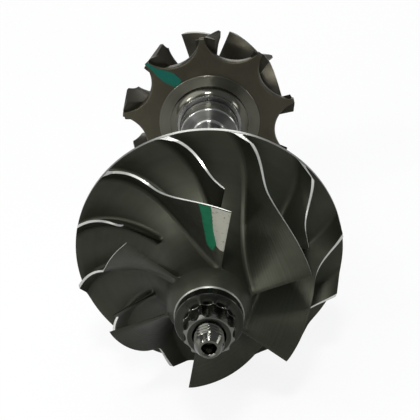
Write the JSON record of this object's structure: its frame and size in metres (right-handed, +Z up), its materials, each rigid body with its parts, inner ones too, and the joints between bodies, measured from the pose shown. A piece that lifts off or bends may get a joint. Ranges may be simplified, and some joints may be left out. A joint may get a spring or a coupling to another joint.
{
  "type": "turbocharger rotor",
  "caption": "Turbocharger rotor: bladed compressor wheel with flanged nut, stepped shaft with journals and seal rings, and scalloped radial turbine wheel.",
  "frame": {"origin": "on the rotor's axis, at the middle of the turbine-side journal", "axes": "+Y along the axis towards the turbine wheel, so the compressor's nose points to -Y; +Z up, with the seal rings' gaps uppermost; +X to the right for someone who looks at the nose"},
  "size_m": [0.05, 0.1143, 0.05],
  "materials": {
    "ground_steel": "ground and polished",
    "hardened_steel": "fine turned",
    "ring_iron": "dark phosphated",
    "wheel_aluminium": "milled, dull with bright turned edges",
    "nut_steel": "dark polished",
    "nickel_casting": "investment cast, dull"
  },
  "bodies": {
    "rotor": {"rotor_shaft": "ground_steel", "thrust_collar": "hardened_steel", "oil_flinger_sleeve": "hardened_steel", "compressor_wheel": "wheel_aluminium", "shaft_nut": "nut_steel", "turbine_wheel": "nickel_casting"},
    "turbine_ring": {"turbine_seal_ring": "ring_iron"},
    "compressor_ring": {"compressor_seal_ring": "ring_iron"}
  },
  "joints": [
    {"name": "turbine_ring_turn", "type": "hinge", "parent": "rotor", "child": "turbine_ring", "pos_m": [0, 0.0115, 0], "axis": [0, 1, 0], "continuous": true},
    {"name": "compressor_ring_turn", "type": "hinge", "parent": "rotor", "child": "compressor_ring", "pos_m": [0, -0.0386, 0], "axis": [0, 1, 0], "continuous": true}
  ]
}
